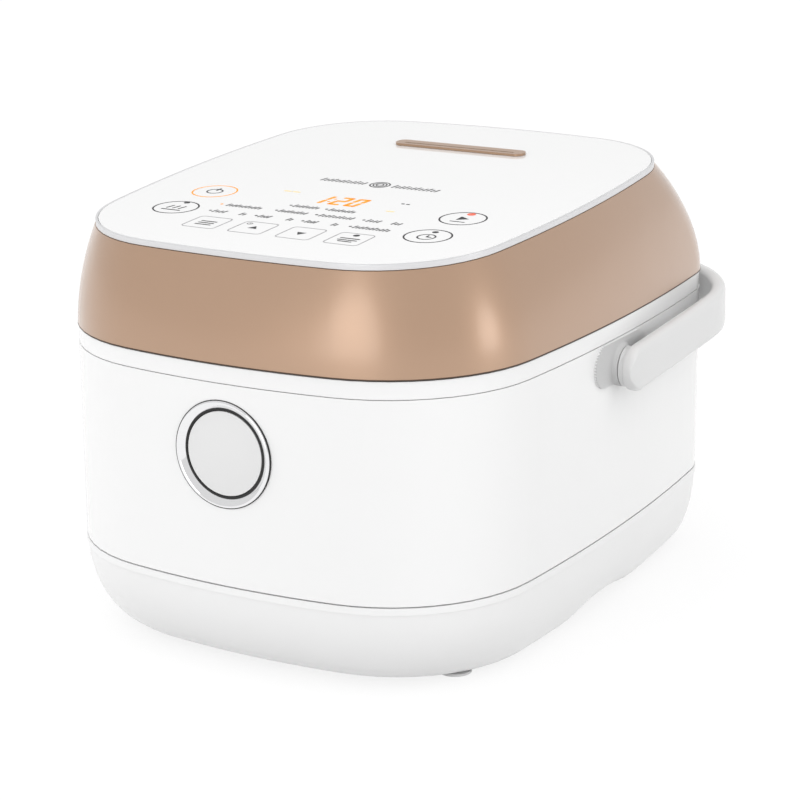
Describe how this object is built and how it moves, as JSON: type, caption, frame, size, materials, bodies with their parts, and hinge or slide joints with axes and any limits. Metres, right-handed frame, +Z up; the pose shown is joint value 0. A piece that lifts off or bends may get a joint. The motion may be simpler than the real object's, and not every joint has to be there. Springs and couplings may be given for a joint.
{
  "type": "rice cooker",
  "caption": "Counter-top induction rice cooker: round-cornered case, hinged lid with a metallic band, flat touch panel, push-to-open button, inner pot and a folding carry handle.",
  "frame": {"origin": "on the floor, under the centre of the cooker's box with the handle folded back", "axes": "+Z up, -Y out of the front with the open button, +X to the viewer's right"},
  "size_m": [0.2696, 0.3349, 0.2165],
  "materials": {
    "case_white": "gloss white",
    "case_satin": "satin white",
    "band_gold": "satin rose-gold lacquer",
    "panel_white": "clear-coated white",
    "rim_silver": "satin silver",
    "chrome": "polished",
    "button_white": "pearl white",
    "inner_white": "moulded white",
    "dark_plastic": "moulded black",
    "ivory_plastic": "heat-resistant moulded plastic",
    "steel": "plated steel",
    "aluminium": "anodised",
    "pot_coating": "dark non-stick coating",
    "copper": "enamelled copper litz",
    "brass": "plated brass",
    "ferrite": "sintered ferrite",
    "board_green": "solder mask",
    "part_black": "moulded epoxy",
    "capacitor_yellow": "box film capacitor",
    "rubber_grey": "moulded rubber",
    "silicone": "translucent silicone",
    "film_dark": "printed film"
  },
  "bodies": {
    "case": {"base_shell": "case_satin", "bottom_plate": "case_satin", "foot_pads": "rubber_grey", "base_screws": "steel", "body_shell": "case_white", "upper_frame": "case_white", "pot_well": "inner_white", "inner_pot": "pot_coating", "coil_former": "ivory_plastic", "induction_coil": "copper", "ferrite_bars": "ferrite", "sensor_spring": "steel", "fan_housing": "dark_plastic", "board_carrier": "ivory_plastic", "power_board": "board_green", "power_transistors": "part_black", "heat_sink": "aluminium", "filter_capacitor": "capacitor_yellow", "line_choke": "copper", "power_inlet": "dark_plastic", "inlet_pins": "brass", "button_ring": "chrome", "button_housing": "inner_white", "button_spring": "steel", "latch_pin": "steel", "latch_spring": "steel", "hinge_pin": "steel", "hinge_springs": "steel", "handle_pins": "steel"},
    "lid": {"lid_band": "band_gold", "panel_rim": "rim_silver", "top_panel": "panel_white", "touch_film": "film_dark", "control_board": "board_green", "display_module": "part_black", "steam_chamber": "inner_white", "lid_frame": "inner_white", "inner_lid": "aluminium", "lid_gasket": "silicone", "latch_strike": "steel", "lid_screws": "steel"},
    "steam_vent": {"steam_cap": "band_gold"},
    "handle": {"carry_handle": "case_satin"},
    "button": {"open_button": "button_white"},
    "latch": {"latch_lever": "steel"},
    "fan": {"fan_impeller": "dark_plastic"},
    "sensor": {"pot_sensor": "aluminium"}
  },
  "joints": [
    {"name": "lid_hinge", "type": "hinge", "parent": "case", "child": "lid", "pos_m": [0, 0.13485, 0.1472], "axis": [-1, 0, 0], "range_deg": [0, 72]},
    {"name": "steam_cap_lift", "type": "slide", "parent": "lid", "child": "steam_vent", "axis": [0, -0.0558, 0.9984], "range_m": [0, 0.03]},
    {"name": "handle_swing", "type": "hinge", "parent": "case", "child": "handle", "pos_m": [0, -0.00525, 0.1287], "axis": [1, 0, 0], "range_deg": [0, 93]},
    {"name": "button_press", "type": "slide", "parent": "case", "child": "button", "axis": [0, 1, 0], "range_m": [0, 0.003], "stiffness_N_per_m": 400, "springref_m": -0.005, "deforming": ["button_spring"]},
    {"name": "latch_swing", "type": "hinge", "parent": "case", "child": "latch", "pos_m": [0, -0.14765, 0.1249], "axis": [1, 0, 0], "range_deg": [0, 12.6]},
    {"name": "fan_spin", "type": "hinge", "parent": "case", "child": "fan", "pos_m": [0, 0.07735, 0.01], "axis": [0, 0, 1], "continuous": true},
    {"name": "sensor_press", "type": "slide", "parent": "case", "child": "sensor", "axis": [0, 0, -1], "range_m": [0, 0.002], "stiffness_N_per_m": 300, "springref_m": -0.003, "deforming": ["sensor_spring"]}
  ],
  "couplings": [
    {"joint": "latch_swing", "follows": "button_press", "rad_per_m": 73.3}
  ]
}
